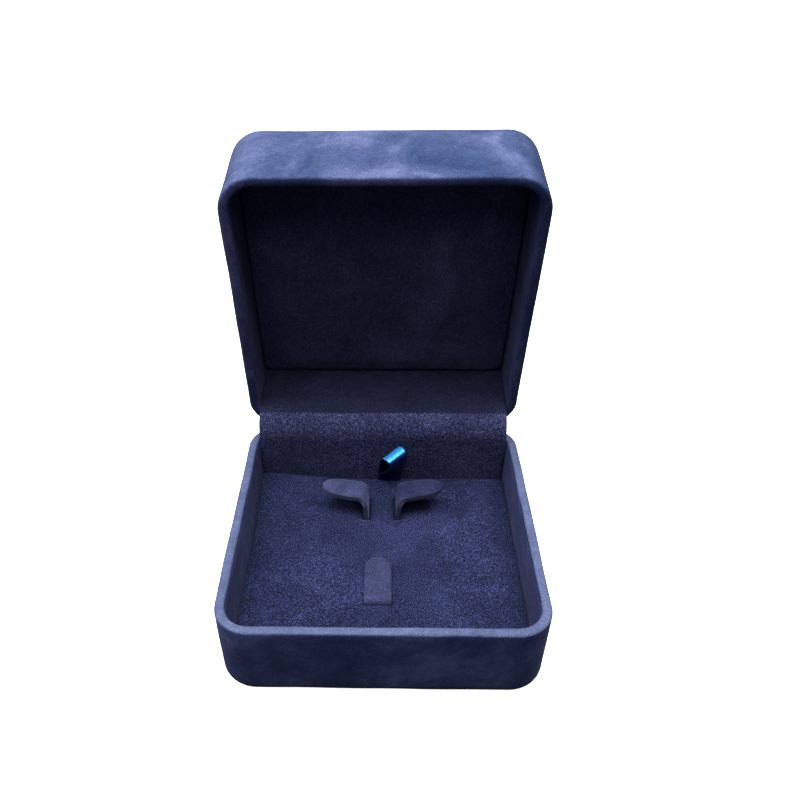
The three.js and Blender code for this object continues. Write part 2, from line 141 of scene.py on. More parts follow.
def make_piece(name, points, faces, body, replaced=(), materials=(), opened=False):
    """A mesh object from points in millimetres. Pieces of the lid are drawn shut and swung open."""
    points = swing(points, LID_OPEN) if opened else np.asarray(points, float)
    mesh = bpy.data.meshes.new(name)
    mesh.from_pydata([tuple(p * MM) for p in points], [], [tuple(int(i) for i in f) for f in faces])
    mesh.validate()
    for polygon in mesh.polygons:
        polygon.use_smooth = True
    piece = add_object(name, mesh)
    for material in materials:
        mesh.materials.append(material)
    face_outward(mesh)
    if body:
        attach(piece, body)
    if replaced:
        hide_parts(*replaced)
    return piece


def face_outward(mesh):
    """Turns the faces of a closed mesh outward."""
    work = bmesh.new()
    work.from_mesh(mesh)
    bmesh.ops.recalc_face_normals(work, faces=work.faces)
    work.to_mesh(mesh)
    work.free()


CLEAR_OF_EXTRA = 0.45  # share of a step within which a regular place gives way to an extra one
LEAST_RADIUS = 0.02


def side_stops(reach, extra=()):
    """Places along a straight side, about a millimetre apart, and the extra ones."""
    stops = list(np.linspace(-reach, reach, int(2 * reach) + 1))
    stops = [s for s in stops if all(abs(s - e) > CLEAR_OF_EXTRA for e in extra)]
    return np.array(sorted([*stops, *extra]))


def ring_points(bounds, corners, inset, stops, arc_steps=12):
    """Closed ring round a rectangle with rounded corners, drawn in by inset.

    bounds is (x0, x1, y0, y1); corners is (front radius, rear radius); stops are fractions from
    -1 to 1 along the sides, in the order front, right, back, left.
    """
    x0, x1, y0, y1 = bounds
    front, rear = corners
    arms = []
    quarter = math.pi / 2
    specs = (
        (x1, y0, front, -quarter, -1, 1),
        (x1, y1, rear, 0, -1, -1),
        (x0, y1, rear, quarter, 1, -1),
        (x0, y0, front, 2 * quarter, 1, 1),
    )
    centres = []
    for x, y, radius, start, sx, sy in specs:
        keep = max(radius - inset, LEAST_RADIUS)
        shift = max(radius, inset + LEAST_RADIUS)
        centre = np.array([x + sx * shift, y + sy * shift])
        centres.append((centre, keep, start))
    for i, (centre, keep, start) in enumerate(centres):
        before, before_keep, _ = centres[i - 1]
        outward = np.array([math.cos(start), math.sin(start)])
        share = (stops[i][1:-1, None] + 1) / 2
        a = before + before_keep * outward
        b = centre + keep * outward
        arms.append(a + (b - a) * share)
        turn = start + np.linspace(0, quarter, arc_steps + 1)
        arms.append(centre + keep * np.c_[np.cos(turn), np.sin(turn)])
    return np.vstack(arms)


def tube_faces(rows, count, closed=False):
    """Faces between rows of points, each a ring; closed joins the last row to the first."""
    faces = []
    for row in range(rows if closed else rows - 1):
        a, b = row * count, (row + 1) % rows * count
        for i in range(count):
            j = (i + 1) % count
            faces.append((a + i, a + j, b + j, b + i))
    return faces


def sweep(profile, ring, closed=True):
    """Carries a profile of (inset, height) round a ring. Returns points and faces."""
    rings = [ring(inset) for inset, _ in profile]
    count = len(rings[0])
    points = np.vstack([np.c_[r, np.full(count, z)] for r, (_, z) in zip(rings, profile)])
    faces = tube_faces(len(profile), count, closed)
    if not closed:
        faces.append(tuple(range(count))[::-1])
        faces.append(tuple((len(profile) - 1) * count + i for i in range(count)))
    return points, faces


def arc_profile(inset, z, radius, start, end, steps):
    """Places on an arc between two angles in degrees, both ends included."""
    angles = np.radians(np.linspace(start, end, steps + 1))
    return [(inset + radius * math.cos(a), z + radius * math.sin(a)) for a in angles]


def line_profile(a, b, step=1.0):
    """Places between two others, about a step apart, without those two."""
    count = max(int(math.dist(a, b) / step), 1)
    return [tuple(np.array(a) + (np.array(b) - a) * i / count) for i in range(1, count)]


def waver(points, amount, scale, seed):
    """Moves points by smooth noise, so that no wall is perfectly flat."""
    shift = Vector((seed, 2 * seed, 3 * seed))
    moved = [amount * np.array(noise.noise_vector(Vector(p * scale) + shift)) for p in points]
    return points + np.array(moved)


# ---- Materials -------------------------------------------

def new_material(name, color):
    """A new material, its nodes, its links and its shader."""
    material = bpy.data.materials.new(name)
    material.use_nodes = True
    material.diffuse_color = (*color, 1)
    nodes = material.node_tree.nodes
    return material, nodes, material.node_tree.links, nodes["Principled BSDF"]


def set_inputs(node, values):
    for name, value in values.items():
        node.inputs[name].default_value = value


def noise_node(nodes, links, coordinates, scale, detail=2.0, roughness=0.5, distortion=0.0):
    node = nodes.new("ShaderNodeTexNoise")
    set_inputs(node, {
        "Scale": scale,
        "Detail": detail,
        "Roughness": roughness,
        "Distortion": distortion,
    })
    links.new(coordinates, node.inputs["Vector"])
    return node.outputs["Fac"]


def ramp(nodes, links, value, stops):
    node = nodes.new("ShaderNodeValToRGB")
    elements = node.color_ramp.elements
    while len(elements) < len(stops):
        elements.new(0.5)
    for element, (place, color) in zip(elements, stops):
        element.position = place
        element.color = (*color, 1) if hasattr(color, "__len__") else (color, color, color, 1)
    links.new(value, node.inputs["Fac"])
    return node.outputs["Color"]


def mix(nodes, links, share, a, b, mode="MIX"):
    node = nodes.new("ShaderNodeMix")
    node.data_type = "RGBA"
    node.blend_type = mode
    for socket, value in ((node.inputs[0], share), (node.inputs[6], a), (node.inputs[7], b)):
        if isinstance(value, bpy.types.NodeSocket):
            links.new(value, socket)
        elif hasattr(value, "__len__"):
            socket.default_value = (*value, 1)
        else:
            socket.default_value = value
    return node.outputs[2]


def bump(nodes, links, height, strength, distance):
    node = nodes.new("ShaderNodeBump")
    set_inputs(node, {"Strength": strength, "Distance": distance})
    links.new(height, node.inputs["Height"])
    return node.outputs["Normal"]


def upward(nodes, links):
    """How far the surface faces up: 1 where it is level, 0 where it is upright."""
    facing = nodes.new("ShaderNodeSeparateXYZ")
    links.new(nodes.new("ShaderNodeNewGeometry").outputs["Normal"], facing.inputs["Vector"])
    return facing.outputs["Z"]


SHEEN_TINT = (0.5, 0.58, 0.9)


def suede(name, deep, mid, pale, cloud_scale, clouds, fleck, sheen, grain_scale=3400, seed=0.0,
          upright=(1.0, 1.0, 1.0)):
    """Brushed suede: cloudy patches where the nap lies differently, and a fine grain of fibres.

    deep, mid and pale are its tones in the clouds, fleck the contrast of the grain and sheen its
    (weight, roughness). upright is painted shade: it tints the suede on upright faces, making them
    darker than level ones as if less lit.
    """
    material, nodes, links, shader = new_material(name, mid)
    place = nodes.new("ShaderNodeTexCoord").outputs["Object"]
    shift = nodes.new("ShaderNodeMapping")
    shift.inputs["Location"].default_value = (seed, seed * 2, seed * 3)
    links.new(place, shift.inputs["Vector"])
    at = shift.outputs["Vector"]
    cloud = noise_node(nodes, links, at, cloud_scale, detail=4.0, roughness=0.55, distortion=0.6)
    low, high = clouds
    tone = ramp(nodes, links, cloud, [(low, deep), ((low + high) / 2, mid), (high, pale)])
    strokes = noise_node(nodes, links, at, cloud_scale * 6, detail=3.0, roughness=0.6, distortion=1.2)
    stroke_tone = ramp(nodes, links, strokes, [(0.3, 0.78), (0.7, 1.22)])
    tone = mix(nodes, links, 0.75, tone, stroke_tone, "MULTIPLY")
    grain = noise_node(nodes, links, at, grain_scale, detail=3.0, roughness=0.7)
    grain_tone = ramp(nodes, links, grain, [(0.3, 1 - fleck), (0.5, 1.0), (0.68, 1 + fleck * 2.2)])
    tone = mix(nodes, links, 1.0, tone, grain_tone, "MULTIPLY")
    # painted shade: upright faces are tinted darker than level ones, as if the light fell on them less
    painted_side_shade = ramp(nodes, links, upward(nodes, links), [(0.2, upright), (0.9, (1.0, 1.0, 1.0))])
    tone = mix(nodes, links, 1.0, tone, painted_side_shade, "MULTIPLY")
    links.new(tone, shader.inputs["Base Color"])
    fine = noise_node(nodes, links, at, grain_scale * 0.8, detail=4.0, roughness=0.75)
    links.new(bump(nodes, links, fine, strength=0.6, distance=0.00012), shader.inputs["Normal"])
    weight, rough = sheen
    set_inputs(shader, {
        "Roughness": 0.95,
        "Specular IOR Level": 0.12,
        "Sheen Weight": weight,
        "Sheen Tint": (*SHEEN_TINT, 1),
        "Sheen Roughness": rough,
    })
    return material


outer_suede = suede(
    "outer_suede",
    deep=(0.016, 0.03, 0.08), mid=(0.036, 0.051, 0.116), pale=(0.083, 0.1, 0.193),
    # upright: painted shade on the upright faces
    cloud_scale=62, clouds=(0.34, 0.68), fleck=0.3, sheen=(0.05, 0.35), upright=(0.47, 0.47, 0.62),
)
# painted highlight: a lighter copy of the outer suede for the base's rim, which faces up into the light
lit_rim_suede = suede(
    "lit_rim_suede",
    deep=(0.049, 0.061, 0.121), mid=(0.059, 0.073, 0.141), pale=(0.072, 0.088, 0.165),
    cloud_scale=90, clouds=(0.34, 0.68), fleck=0.25, sheen=(0.08, 0.35),
)
lining_suede = suede(
    "lining_suede",
    deep=(0.0043, 0.0056, 0.0188), mid=(0.0061, 0.0079, 0.0257), pale=(0.01, 0.0124, 0.0375),
    cloud_scale=75, clouds=(0.3, 0.72), fleck=2.1, sheen=(0.08, 0.3), grain_scale=3500, seed=0.31,
)
# painted light: its smoother grain is the lid pad's own, but its much lighter tone makes up for the
# little light inside the open lid
lid_lining_suede_lit = suede(
    "lid_lining_suede_lit",
    deep=(0.018, 0.0215, 0.055), mid=(0.026, 0.0305, 0.075), pale=(0.041, 0.048, 0.107),
    cloud_scale=60, clouds=(0.3, 0.72), fleck=0.6, sheen=(0.1, 0.3), seed=0.93,
)
wall_suede = suede(
    "wall_suede",
    deep=(0.016, 0.0187, 0.06), mid=(0.023, 0.027, 0.082), pale=(0.034, 0.039, 0.112),
    cloud_scale=110, clouds=(0.3, 0.7), fleck=0.3, sheen=(0.04, 0.3), seed=0.83,
)
strip_suede = suede(
    "strip_suede",
    deep=(0.0124, 0.0145, 0.0395), mid=(0.016, 0.0188, 0.05), pale=(0.0243, 0.0287, 0.07),
    cloud_scale=60, clouds=(0.3, 0.75), fleck=1.7, sheen=(0.12, 0.3), grain_scale=2900, seed=0.47,
    # upright: painted shade on the upright faces
    upright=(0.75, 0.75, 0.77),
)
inner_strip_suede = suede(
    "inner_strip_suede",
    deep=(0.006, 0.0072, 0.02), mid=(0.008, 0.0094, 0.026), pale=(0.012, 0.014, 0.037),
    cloud_scale=75, clouds=(0.3, 0.72), fleck=0.6, sheen=(0.04, 0.3), seed=0.23,
)
left_flap_suede = suede(
    "left_flap_suede",
    deep=(0.018, 0.022, 0.056), mid=(0.027, 0.032, 0.077), pale=(0.04, 0.046, 0.103),
    cloud_scale=170, clouds=(0.3, 0.7), fleck=0.35, sheen=(0.12, 0.35), seed=0.57,
)
tab_suede = suede(
    "tab_suede",
    deep=(0.015, 0.018, 0.046), mid=(0.0215, 0.0255, 0.063), pale=(0.033, 0.038, 0.089),
    cloud_scale=170, clouds=(0.3, 0.7), fleck=0.4, sheen=(0.1, 0.35), seed=0.19,
)
# painted shade: a darker, bluer copy of the flap suede, as the right flap's nap catches less of the
# light
right_flap_suede_shaded = suede(
    "right_flap_suede_shaded",
    deep=(0.0068, 0.0085, 0.0275), mid=(0.0098, 0.0123, 0.0375), pale=(0.0165, 0.0198, 0.054),
    cloud_scale=170, clouds=(0.3, 0.7), fleck=0.35, sheen=(0.08, 0.35), seed=0.71,
)


def fibre_board(name, color, spread):
    """Dull board or foam with a fibrous grain that varies its colour by the given share."""
    material, nodes, links, shader = new_material(name, color)
    at = nodes.new("ShaderNodeTexCoord").outputs["Object"]
    grain = noise_node(nodes, links, at, 1800, detail=4.0, roughness=0.7, distortion=0.5)
    dark = tuple(c * (1 - spread) for c in color)
    light = tuple(c * (1 + spread) for c in color)
    links.new(ramp(nodes, links, grain, [(0.3, dark), (0.7, light)]), shader.inputs["Base Color"])
    links.new(bump(nodes, links, grain, strength=0.4, distance=0.00008), shader.inputs["Normal"])
    shader.inputs["Roughness"].default_value = 0.9
    return material


card_material = fibre_board("card", (0.012, 0.014, 0.03), spread=0.3)
board_material = fibre_board("moulded_board", (0.012, 0.012, 0.015), spread=0.3)
foam_material = fibre_board("foam", (0.02, 0.021, 0.026), spread=0.5)


def brushed_steel():
    """Nickel-pale steel with fine lines along X."""
    color = (0.56, 0.57, 0.6)
    material, nodes, links, shader = new_material("hinge_steel", color)
    at = nodes.new("ShaderNodeTexCoord").outputs["Object"]
    stretch = nodes.new("ShaderNodeMapping")
    stretch.inputs["Scale"].default_value = (0.05, 1, 1)
    links.new(at, stretch.inputs["Vector"])
    lines = noise_node(nodes, links, stretch.outputs["Vector"], 4000, detail=3.0, roughness=0.6)
    tone = ramp(nodes, links, lines, [(0.3, (0.42, 0.43, 0.46)), (0.7, (0.66, 0.67, 0.7))])
    links.new(tone, shader.inputs["Base Color"])
    links.new(ramp(nodes, links, lines, [(0.3, 0.28), (0.7, 0.42)]), shader.inputs["Roughness"])
    links.new(bump(nodes, links, lines, strength=0.1, distance=0.00003), shader.inputs["Normal"])
    shader.inputs["Metallic"].default_value = 1
    return material


steel_material = brushed_steel()


def satin():
    """Royal-blue satin with a painted highlight where it faces up and painted shade, near black,
    elsewhere.
    """
    material, nodes, links, shader = new_material("ribbon_satin", (0.01, 0.12, 0.6))
    at = nodes.new("ShaderNodeTexCoord").outputs["Object"]
    weave = nodes.new("ShaderNodeTexWave")
    weave.bands_direction = "Z"
    set_inputs(weave, {"Scale": 1500, "Distortion": 1.5})
    links.new(at, weave.inputs["Vector"])
    shade = noise_node(nodes, links, at, 2200, detail=3.0, roughness=0.6)
    highlight_tone = ramp(nodes, links, shade, [(0.3, (0.01, 0.2, 0.7)), (0.7, (0.07, 0.5, 1.0))])
    # painted highlight and shade: pale blue where the satin faces up, near black elsewhere, by its
    # facing alone
    up = ramp(nodes, links, upward(nodes, links), [(0.62, 0.0), (0.93, 1.0)])
    links.new(mix(nodes, links, up, (0.002, 0.011, 0.085), highlight_tone), shader.inputs["Base Color"])
    weave_bump = bump(nodes, links, weave.outputs["Fac"], strength=0.15, distance=0.00003)
    links.new(weave_bump, shader.inputs["Normal"])
    set_inputs(shader, {"Metallic": 0.7, "Roughness": 0.42})
    return material


ribbon_material = satin()


# ---- The two halves --------------------------------------

NOTCH_ENDS = [end + side * NOTCH_SLOPE for end in (-BARREL_HALF, BARREL_HALF) for side in (-1, 1)]
NOTCHED_STOPS = side_stops(SIDE_REACH, NOTCH_ENDS) / SIDE_REACH
PLAIN_STOPS = side_stops(SIDE_REACH) / SIDE_REACH
OUTLINE = (-HALF, HALF, -HALF, HALF)
CROWN_SLOPE = 2.2
CROWN_ROUNDNESS = 0.7
RIM_FACE = 0.3  # depth below the rim's top that gets the lit rim suede, a painted highlight


def half_ring(inset):
    """Outline of a half, drawn in by inset, with places for the notch in its back."""
    stops = (PLAIN_STOPS, PLAIN_STOPS, NOTCHED_STOPS, PLAIN_STOPS)
    return ring_points(OUTLINE, (CORNER, CORNER), inset, stops)


def wrap_profile(height, reach_in):
    """Section of the suede skin, standing on its closed face at 0 with its rim at height."""
    shoulder = height - RIM_EDGE
    tucked = height - TURN_IN - TUCK
    back = height - RIM_PADDING
    outside = [(reach_in, 0.0), *line_profile((reach_in, 0), (EDGE, 0))]
    outside += arc_profile(EDGE, EDGE, EDGE, 270, 180, 8)
    outside += line_profile((0, EDGE), (0, shoulder))
    outside += arc_profile(RIM_EDGE, shoulder, RIM_EDGE, 180, 90, 4)
    outside += [(RIM / 2, height + RIM_CROWN)]
    outside += arc_profile(RIM - RIM_EDGE, shoulder, RIM_EDGE, 90, 0, 4)
    outside += line_profile((RIM, shoulder), (RIM, tucked), 0.7)
    outside += [(RIM, tucked)]
    inside = [(RIM - TURNED_SKIN, tucked), (RIM - TURNED_SKIN, back), (SKIN, back)]
    inside += line_profile((SKIN, back), (SKIN, EDGE), 4)
    inside += arc_profile(EDGE, EDGE, EDGE - SKIN, 180, 270, 4)
    inside += [(reach_in, SKIN)]
    return outside + inside


def notch_rim(points, height):
    """Lowers the back rim where the hinge barrel lies."""
    floor = height - NOTCH - NOTCH_BLEND
    at_back = points[:, 1] > HALF - RIM - SKIN
    between = np.abs(points[:, 0]) < BARREL_HALF
    chosen = at_back & between & (points[:, 2] > floor)
    squeezed = floor + (points[:, 2] - floor) * NOTCH_BLEND / (NOTCH + NOTCH_BLEND)
    points[chosen, 2] = squeezed[chosen]
    return points


def half_skin(height, reach_in, crown, seed):
    """Suede skin of one half, standing on its closed face, which bulges by crown.

    The face is covered as far in as reach_in; where that leaves an opening, the skin is a closed ring.
    """
    has_opening = reach_in < HALF - 1
    points, faces = sweep(wrap_profile(height, reach_in), half_ring, has_opening)
    points = waver(points, amount=0.12, scale=0.09, seed=seed)
    middle = 1 - np.abs(points[:, :2]).max(axis=1) / HALF
    near_face = np.clip(1 - points[:, 2] / EDGE, 0, 1)
    points[:, 2] -= crown * near_face * np.clip(middle * CROWN_SLOPE, 0, 1) ** CROWN_ROUNDNESS
    return notch_rim(points, height), faces


def turned_over(points, top):
    """Turns a piece drawn on its closed face over, so that the face is at the top."""
    return np.c_[-points[:, 0], points[:, 1], top - points[:, 2]]


def build_base_skin():
    """Suede over the base, open in the middle of its underside; its rim has a lighter copy of the suede
    as a painted highlight.
    """
    height = BASE_HIGH[2] - BASE_LOW[2]
    points, faces = half_skin(height, reach_in=WINDOW_INSET, crown=0.0, seed=3.1)
    points[:, 2] += BASE_LOW[2]
    materials = [outer_suede, lit_rim_suede]
    base = make_piece("base_suede", points, faces, "base", ["base_wrap"], materials)
    # painted highlight: faces on the rim's top get the lighter rim suede
    for polygon in base.data.polygons:
        if polygon.center.z > (BASE_HIGH[2] - RIM_FACE) * MM:
            polygon.material_index = 1


def build_lid_skin():
    """Suede over the lid, whose closed face is covered to its middle."""
    height = LID_HIGH[2] - LID_LOW[2]
    points, faces = half_skin(height, reach_in=HALF - 0.05, crown=0.25, seed=7.7)
    points = turned_over(points, LID_HIGH[2])
    cover = make_piece("lid_suede", points, faces, "lid", ["lid_wrap"], [outer_suede], opened=True)


def build_underside():
    """Suede sheet glued under the base, which closes the opening in the skin."""
    low, high = box_mm("underside_sheet")
    thickness = high[2] - low[2]
    bounds = (low[0], high[0], low[1], high[1])
    centre = high[0] * 0.96
    soft = 0.2
    corner = 4
    profile = [(centre, 0.0), (soft, 0.0), *arc_profile(soft, soft, soft, 270, 180, 3)]
    profile += [(0, thickness), (centre, thickness)]

    def ring(inset):
        return ring_points(bounds, (corner, corner), inset, (PLAIN_STOPS,) * 4)

    points, faces = sweep(profile, ring, False)
    sheet = make_piece("underside_suede", points, faces, "base", ["underside_sheet"], [outer_suede])


LINING_FACE = RIM + 0.12
LINING_BACK = RIM - 0.05
LID_LINING_LOW = 1.9  # from the lid's top, where its lining begins


def lining_profile(low, high):
    """Section of a lining between two heights, with a soft edge at the higher one."""
    soft = 0.25
    section = [(LINING_FACE, low), *line_profile((LINING_FACE, low), (LINING_FACE, high - soft))]
    section += arc_profile(LINING_FACE - soft, high - soft, soft, 0, 90, 3)
    return section + [(LINING_BACK, high), (LINING_BACK, low)]


def lining_skin(low, high, seed):
    """Lining round the inner walls, between two heights."""

    def ring(inset):
        return ring_points(OUTLINE, (CORNER, CORNER), inset, (PLAIN_STOPS,) * 4)

    points, faces = sweep(lining_profile(low, high), ring)
    return waver(points, amount=0.05, scale=0.12, seed=seed), faces


def build_linings():
    """Suede glued inside the walls of both halves."""
    low, high = LINING_FOOT, BASE_HIGH[2] - TURN_IN
    points, faces = lining_skin(low, high, seed=1.3)
    lining = make_piece("base_inner_lining", points, faces, "base", ["base_lining"], [wall_suede])
    low, high = LID_LINING_LOW, LID_HIGH[2] - LID_LOW[2] - TURN_IN
    points, faces = lining_skin(low, high, seed=2.9)
    points = turned_over(points, LID_HIGH[2])
    lining = make_piece(
        "lid_inner_lining", points, faces, "lid", ["lid_lining"], [wall_suede], opened=True
    )


build_base_skin()
build_lid_skin()
build_linings()
build_underside()


# ---- Pads ------------------------------------------------

BOARD_ROOM = box_mm("pad_board")[1][2] - PAD_LOW[2] + 0.02
SWELL_SCALE = 10
SWELL_PRESSURE = 4
SWELL_STEPS = 20
SWELL_CAP = 0.35  # the farthest that a point may move
SWELL_DEPTH = 1.2  # below a pad's top, how far down its cover is free
PAD_FRONT_CORNER = CORNER - RIM - 0.25
PAD_REAR_CORNER = 1.5
LID_PAD_REAR_CORNER = 2.2
PAD_CROWN = 0.3
PAD_UNEVENNESS = 0.08
UNEVEN_SCALE = 0.06
LINE_PAIR = 0.06  # half the gap between the pair of lines at a sharp place


def swell(points, faces, free):
    """Lets the free points of a closed form swell as cloth under pressure.

    The cloth is simulated at SWELL_SCALE times the form's size.
    """
    mesh = bpy.data.meshes.new("swelling")
    mesh.from_pydata([tuple(p * MM * SWELL_SCALE) for p in points], [], faces)
    form = add_object("swelling", mesh)
    held = form.vertex_groups.new(name="held")
    held.add([int(i) for i in np.nonzero(~free)[0]], 1.0, "REPLACE")
    cloth = form.modifiers.new("cloth", "CLOTH")
    cloth.settings.use_pressure = True
    cloth.settings.uniform_pressure_force = SWELL_PRESSURE
    cloth.settings.vertex_group_mass = "held"
    cloth.settings.effector_weights.gravity = 0
    cloth.point_cache.frame_start = 1
    cloth.point_cache.frame_end = SWELL_STEPS
    scene = bpy.context.scene
    for step in range(1, SWELL_STEPS + 1):
        scene.frame_set(step)
    result = form.evaluated_get(bpy.context.evaluated_depsgraph_get()).to_mesh()
    after = np.array([vertex.co for vertex in result.vertices]) / (MM * SWELL_SCALE)
    bpy.data.objects.remove(form)
    scene.frame_set(1)
    moved = after - points
    far = np.linalg.norm(moved, axis=1)
    return points + moved * (np.minimum(far, SWELL_CAP) / np.maximum(far, 1e-9))[:, None]


def grid_lines(low, high, step, sharp=()):
    """Lines of a grid, with a close pair of lines at each sharp place."""
    lines = list(np.linspace(low, high, int((high - low) / step) + 1))
    lines = [v for v in lines if all(abs(v - s) > step * CLEAR_OF_EXTRA for s in sharp)]
    for s in sharp:
        lines += [s - LINE_PAIR, s + LINE_PAIR]
    return np.array(sorted(lines))


def grid_edge(rows, columns):
    """Numbers of the points round the edge of a grid, in order."""
    edge = list(range(columns))
    edge += [r * columns + columns - 1 for r in range(1, rows)]
    edge += [(rows - 1) * columns + c for c in range(columns - 2, -1, -1)]
    edge += [r * columns for r in range(rows - 2, 0, -1)]
    return edge


def smooth_share(value, low, high):
    """0 up to low, 1 from high, and a smooth rise between them."""
    t = np.clip((value - low) / (high - low), 0, 1)
    return t * t * (3 - 2 * t)


def edge_distance(x, y, bounds, corners):
    """Distance in from the edge of a rectangle with rounded corners; negative outside."""
    x0, x1, y0, y1 = bounds
    radius = np.where(y < (y0 + y1) / 2, corners[0], corners[1])
    qx = np.abs(x - (x0 + x1) / 2) - ((x1 - x0) / 2 - radius)
    qy = np.abs(y - (y0 + y1) / 2) - ((y1 - y0) / 2 - radius)
    outside = np.hypot(np.maximum(qx, 0), np.maximum(qy, 0))
    return radius - outside - np.minimum(np.maximum(qx, qy), 0)


def pull_inside(x, y, bounds, corners):
    """Moves points of a square grid that lie past a rounded corner onto its arc."""
    x0, x1, y0, y1 = bounds
    for side_x in (-1, 1):
        for side_y in (-1, 1):
            radius = corners[0] if side_y < 0 else corners[1]
            cx = (x1 - radius) if side_x > 0 else (x0 + radius)
            cy = (y1 - radius) if side_y > 0 else (y0 + radius)
            dx, dy = x - cx, y - cy
            far = np.hypot(dx, dy)
            out = (dx * side_x > 0) & (dy * side_y > 0) & (far > radius)
            scale = np.where(out, radius / np.maximum(far, 1e-9), 1)
            x, y = cx + dx * scale, cy + dy * scale
    return x, y


def pillow(bounds, corners, thickness, soft, height, lines_x, lines_y):
    """Closed pad: a top that follows height(x, y), rounded to upright sides, and a recess below."""
    gx, gy = np.meshgrid(lines_x, lines_y)
    rows, columns = gx.shape
    x, y = pull_inside(gx.ravel(), gy.ravel(), bounds, corners)
    inside = np.clip(edge_distance(x, y, bounds, corners), 0, soft)
    fall = soft - np.sqrt(np.maximum(soft**2 - (soft - inside) ** 2, 0))
    top = np.c_[x, y, height(x, y) - fall]
    over_board = edge_distance(x, y, bounds, corners) > SKIN
    bottom = np.c_[x, y, np.where(over_board, BOARD_ROOM - thickness, -thickness)]
    points = np.vstack([top, bottom])
    count = rows * columns
    faces = []
    for r in range(rows - 1):
        for c in range(columns - 1):
            a = r * columns + c
            faces.append((a, a + 1, a + columns + 1, a + columns))
            faces.append((count + a, count + a + columns, count + a + columns + 1, count + a + 1))
    edge = grid_edge(rows, columns)
    for i, a in enumerate(edge):
        b = edge[(i + 1) % len(edge)]
        faces.append((b, a, count + a, count + b))
    return points, faces


def puffed(seed, bounds):
    """Height of a thin foam pad under its cover: a low crown with a slight unevenness."""
    x0, x1, y0, y1 = bounds

    def height(x, y):
        u = (x - x0) / (x1 - x0)
        v = (y - y0) / (y1 - y0)
        crown = PAD_CROWN * (np.sin(np.pi * np.clip(u, 0, 1)) * np.sin(np.pi * np.clip(v, 0, 1))) ** 0.5
        places = [Vector((a * UNEVEN_SCALE + seed, b * UNEVEN_SCALE, seed)) for a, b in zip(x, y)]
        return crown + np.array([PAD_UNEVENNESS * noise.noise(place) for place in places])

    return height


PAD_SINK = 0.4  # how far the pad's edge lies below the top of its solid
FLAP_SLIT_ROOM = (0.35, 1.25)  # from the flap's near face, towards the middle and outwards
FLAP_SLIT_ENDS = 0.2  # how far a flap's slit runs past the flap
TAB_SLIT = (0.3, 1.35)  # from the tab's front face
TAB_SLIT_SIDES = 0.12  # how far the tab's slit runs past the tab
SLIT_DEPTH = 1.5
SLIT_HOLD = 0.3  # the cover is held this far round a slit
LIFTED_CORNER = 2.0  # how high the rear left corner of the pad has curled up
LIFTED_X, LIFTED_Y = (9, 33), (2, 27)  # over which it rises, to the left and to the rear
REAR_RISE = 0.35  # how much higher the rear of the pad is
REAR_RISE_Y = (4, 26)
FLAP_VALLEY = 2.2  # how near a flap that rise fades
LID_PAD_RISE = 0.8  # how far the edge of the lid's pad stands out beyond its solid
PAD_SOFT, LID_PAD_SOFT = 0.7, 0.9  # radius of the pads' upper edges
PAD_HOLD, LID_PAD_HOLD = 0.8, 0.9  # the covers are held this far in from their edges


def pad_slits():
    """The slits in the pad as (x0, x1, y0, y1): for the right flap, the left flap and the tab."""
    flap_x = (FLAP_LOW[0] - FLAP_SLIT_ROOM[0], FLAP_LOW[0] + FLAP_SLIT_ROOM[1])
    flap_y = (FLAP_LOW[1] - FLAP_SLIT_ENDS, FLAP_HIGH[1] + FLAP_SLIT_ENDS)
    tab_x = (TAB_LOW[0] - TAB_SLIT_SIDES, TAB_HIGH[0] + TAB_SLIT_SIDES)
    tab_y = (TAB_LOW[1] + TAB_SLIT[0], TAB_LOW[1] + TAB_SLIT[1])
    return [
        (*flap_x, *flap_y),
        (-flap_x[1], -flap_x[0], *flap_y),
        (*tab_x, *tab_y),
    ]


def pad_grid(bounds, step, sharp_x=(), sharp_y=()):
    """Grid lines in X and Y for a pad, with its sharp places and the edges of the recess below it."""
    x0, x1, y0, y1 = bounds
    lines_x = grid_lines(x0, x1, step, [*sharp_x, x0 + SKIN, x1 - SKIN])
    lines_y = grid_lines(y0, y1, step, [*sharp_y, y0 + SKIN, y1 - SKIN])
    return lines_x, lines_y


def build_pad():
    """The pad in the base: slit for the flaps and the tab, and lifted at its rear left corner."""
    bounds = (PAD_LOW[0], PAD_HIGH[0], PAD_LOW[1], PAD_HIGH[1])
    corners = (PAD_FRONT_CORNER, PAD_REAR_CORNER)
    slits = pad_slits()
    sharp_x = sorted({round(v, 3) for s in slits for v in s[:2]})
    sharp_y = sorted({round(v, 3) for s in slits for v in s[2:]})
    lines_x, lines_y = pad_grid(bounds, 0.9, sharp_x, sharp_y)
    soft_height = puffed(4.4, bounds)

    def height(x, y):
        z = soft_height(x, y)
        z = z + LIFTED_CORNER * smooth_share(-x, *LIFTED_X) * smooth_share(y, *LIFTED_Y)
        away_from_flaps = 1 - np.exp(-(((np.abs(x) - FLAP_LOW[0]) / FLAP_VALLEY) ** 2))
        z = z + REAR_RISE * smooth_share(y, *REAR_RISE_Y) * away_from_flaps
        for x0, x1, y0, y1 in slits:
            inside = (x > x0) & (x < x1) & (y > y0) & (y < y1)
            z = np.where(inside, z - SLIT_DEPTH, z)
        return z - PAD_SINK

    thickness = PAD_HIGH[2] - PAD_LOW[2]
    points, faces = pillow(bounds, corners, thickness, PAD_SOFT, height, lines_x, lines_y)
    x, y, z = points.T
    free = (edge_distance(x, y, bounds, corners) > PAD_HOLD) & (z > -SWELL_DEPTH)
    for x0, x1, y0, y1 in slits:
        near_x = (x > x0 - SLIT_HOLD) & (x < x1 + SLIT_HOLD)
        near_y = (y > y0 - SLIT_HOLD) & (y < y1 + SLIT_HOLD)
        free &= ~(near_x & near_y)
    points = swell(points, faces, free)
    points[:, 2] += PAD_HIGH[2]
    replaced = ["pad_cover", "pad_foam"]
    piece = make_piece("pad_suede", points, faces, "pad", replaced, [lining_suede])


